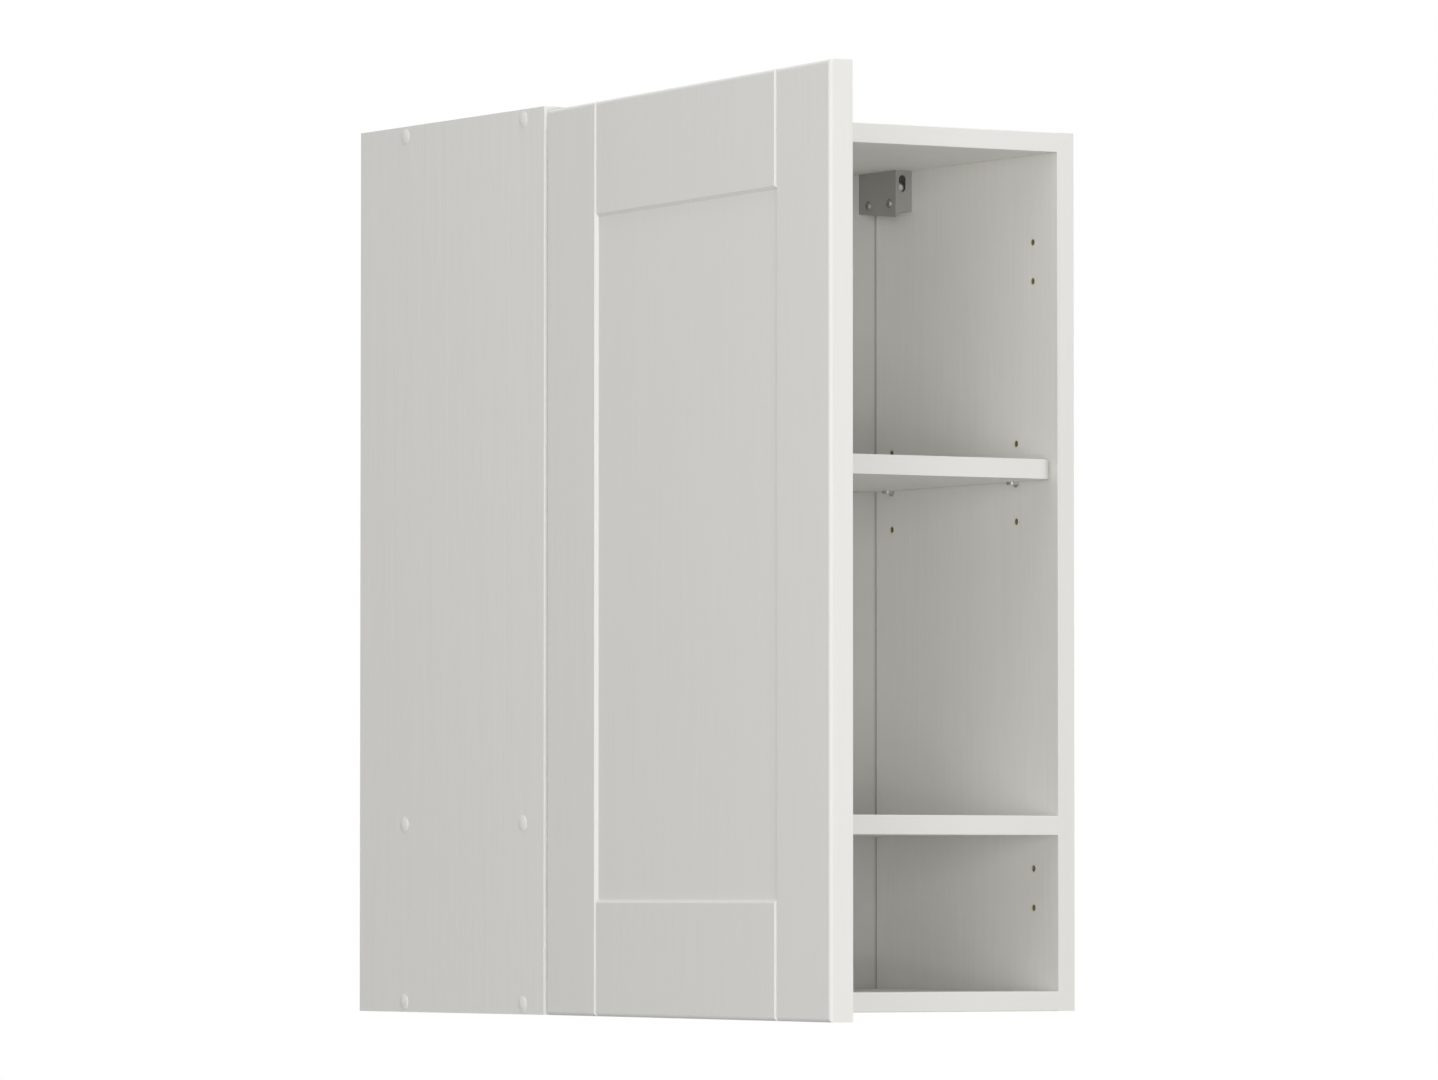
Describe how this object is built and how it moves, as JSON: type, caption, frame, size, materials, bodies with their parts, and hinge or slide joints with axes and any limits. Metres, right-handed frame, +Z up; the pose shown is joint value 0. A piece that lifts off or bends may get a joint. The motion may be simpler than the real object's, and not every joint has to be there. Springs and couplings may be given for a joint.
{
  "type": "wall cabinet",
  "caption": "Kitchen wall cabinet with a framed door on concealed hinges, an adjustable shelf above a fixed shelf, and adjustable hangers for a wall rail.",
  "frame": {"origin": "on the wall plane, at the middle of the width and level with the underside", "axes": "+X to the right seen from the front, +Y towards the wall, +Z up"},
  "size_m": [0.5444, 0.7993, 0.717],
  "materials": {
    "board_laminate": "matt light grey laminate on chipboard",
    "edge_band": "matt edge banding",
    "back_board": "hardboard, painted on the inside",
    "door_foil": "matt foil on fibreboard",
    "cap_plastic": "satin moulded plastic",
    "dowel_beech": "turned beech",
    "screw_steel": "zinc plated",
    "hinge_steel": "nickel plated",
    "support_steel": "nickel plated",
    "hanger_plastic": "matt grey moulding",
    "hook_steel": "zinc plated",
    "bumper_rubber": "soft, slightly clear"
  },
  "bodies": {
    "carcass": {"left_side_panel": "board_laminate", "right_side_panel": "board_laminate", "top_panel": "board_laminate", "bottom_panel": "board_laminate", "fixed_shelf": "board_laminate", "back_panel": "back_board", "left_side_edge_band": "edge_band", "right_side_edge_band": "edge_band", "top_edge_band": "edge_band", "bottom_edge_band": "edge_band", "fixed_shelf_edge_band": "edge_band", "wooden_dowels": "dowel_beech", "connecting_screws": "screw_steel", "left_top_cover_caps": "cap_plastic", "left_shelf_cover_caps": "cap_plastic", "left_bottom_cover_caps": "cap_plastic", "right_top_cover_caps": "cap_plastic", "right_shelf_cover_caps": "cap_plastic", "right_bottom_cover_caps": "cap_plastic", "shelf_supports": "support_steel", "upper_hinge_plate": "hinge_steel", "lower_hinge_plate": "hinge_steel", "hinge_plate_screws": "screw_steel", "upper_hinge_arm": "hinge_steel", "lower_hinge_arm": "hinge_steel", "hinge_arm_screws": "screw_steel", "hinge_arm_pins": "hinge_steel", "left_hanger_housing": "hanger_plastic", "right_hanger_housing": "hanger_plastic", "hanger_fixing_screws": "screw_steel"},
    "shelf": {"adjustable_shelf": "board_laminate", "adjustable_shelf_edge_band": "edge_band"},
    "inner_links": {"upper_inner_link": "hinge_steel", "lower_inner_link": "hinge_steel"},
    "outer_links": {"upper_outer_link": "hinge_steel", "lower_outer_link": "hinge_steel"},
    "door": {"door_front": "door_foil", "upper_hinge_cup": "hinge_steel", "lower_hinge_cup": "hinge_steel", "hinge_cup_screws": "screw_steel", "hinge_cup_pins": "hinge_steel", "door_bumpers": "bumper_rubber"},
    "left_hook_carriage": {"left_hook_carriage": "hook_steel"},
    "left_hanger_hook": {"left_hanger_hook": "hook_steel"},
    "left_depth_screw": {"left_depth_screw": "screw_steel"},
    "left_height_screw": {"left_height_screw": "screw_steel"},
    "right_hook_carriage": {"right_hook_carriage": "hook_steel"},
    "right_hanger_hook": {"right_hanger_hook": "hook_steel"},
    "right_depth_screw": {"right_depth_screw": "screw_steel"},
    "right_height_screw": {"right_height_screw": "screw_steel"}
  },
  "joints": [
    {"name": "door_swing", "type": "hinge", "parent": "carcass", "child": "door", "pos_m": [-0.2404, -0.31195, 0.35675], "axis": [0, 0, 1], "range_deg": [0, 95]},
    {"name": "inner_links_swing", "type": "hinge", "parent": "carcass", "child": "inner_links", "pos_m": [-0.22554, -0.29573, 0.35675], "axis": [0, 0, 1], "range_deg": [-1.95, 0]},
    {"name": "outer_links_swing", "type": "hinge", "parent": "carcass", "child": "outer_links", "pos_m": [-0.21024, -0.29625, 0.35675], "axis": [0, 0, 1], "range_deg": [-23.99, 0]},
    {"name": "shelf_lift", "type": "slide", "parent": "carcass", "child": "shelf", "axis": [0, 0, 1], "range_m": [0, 0.1]},
    {"name": "left_hook_height", "type": "slide", "parent": "carcass", "child": "left_hook_carriage", "axis": [0, 0, 1], "range_m": [0, 0.007]},
    {"name": "left_hook_depth", "type": "slide", "parent": "left_hook_carriage", "child": "left_hanger_hook", "axis": [0, -1, 0], "range_m": [0, 0.008]},
    {"name": "left_depth_screw_turn", "type": "hinge", "parent": "left_hook_carriage", "child": "left_depth_screw", "pos_m": [-0.2247, -0.072, 0.6865], "axis": [0, 1, 0], "range_deg": [0, 2880]},
    {"name": "left_height_screw_turn", "type": "hinge", "parent": "carcass", "child": "left_height_screw", "pos_m": [-0.2286, -0.0729, 0.66649], "axis": [0, 0, 1], "range_deg": [0, 2016]},
    {"name": "right_hook_height", "type": "slide", "parent": "carcass", "child": "right_hook_carriage", "axis": [0, 0, 1], "range_m": [0, 0.007]},
    {"name": "right_hook_depth", "type": "slide", "parent": "right_hook_carriage", "child": "right_hanger_hook", "axis": [0, -1, 0], "range_m": [0, 0.008]},
    {"name": "right_depth_screw_turn", "type": "hinge", "parent": "right_hook_carriage", "child": "right_depth_screw", "pos_m": [0.2247, -0.072, 0.6865], "axis": [0, 1, 0], "range_deg": [0, 2880]},
    {"name": "right_height_screw_turn", "type": "hinge", "parent": "carcass", "child": "right_height_screw", "pos_m": [0.2286, -0.0729, 0.66649], "axis": [0, 0, 1], "range_deg": [0, 2016]}
  ],
  "couplings": [
    {"joint": "inner_links_swing", "follows": "door_swing", "ratio": -0.020525},
    {"joint": "outer_links_swing", "follows": "door_swing", "ratio": -0.25248},
    {"joint": "left_depth_screw_turn", "follows": "left_hook_depth", "rad_per_m": 6283.2},
    {"joint": "left_height_screw_turn", "follows": "left_hook_height", "rad_per_m": 5026.5},
    {"joint": "right_depth_screw_turn", "follows": "right_hook_depth", "rad_per_m": 6283.2},
    {"joint": "right_height_screw_turn", "follows": "right_hook_height", "rad_per_m": 5026.5}
  ]
}
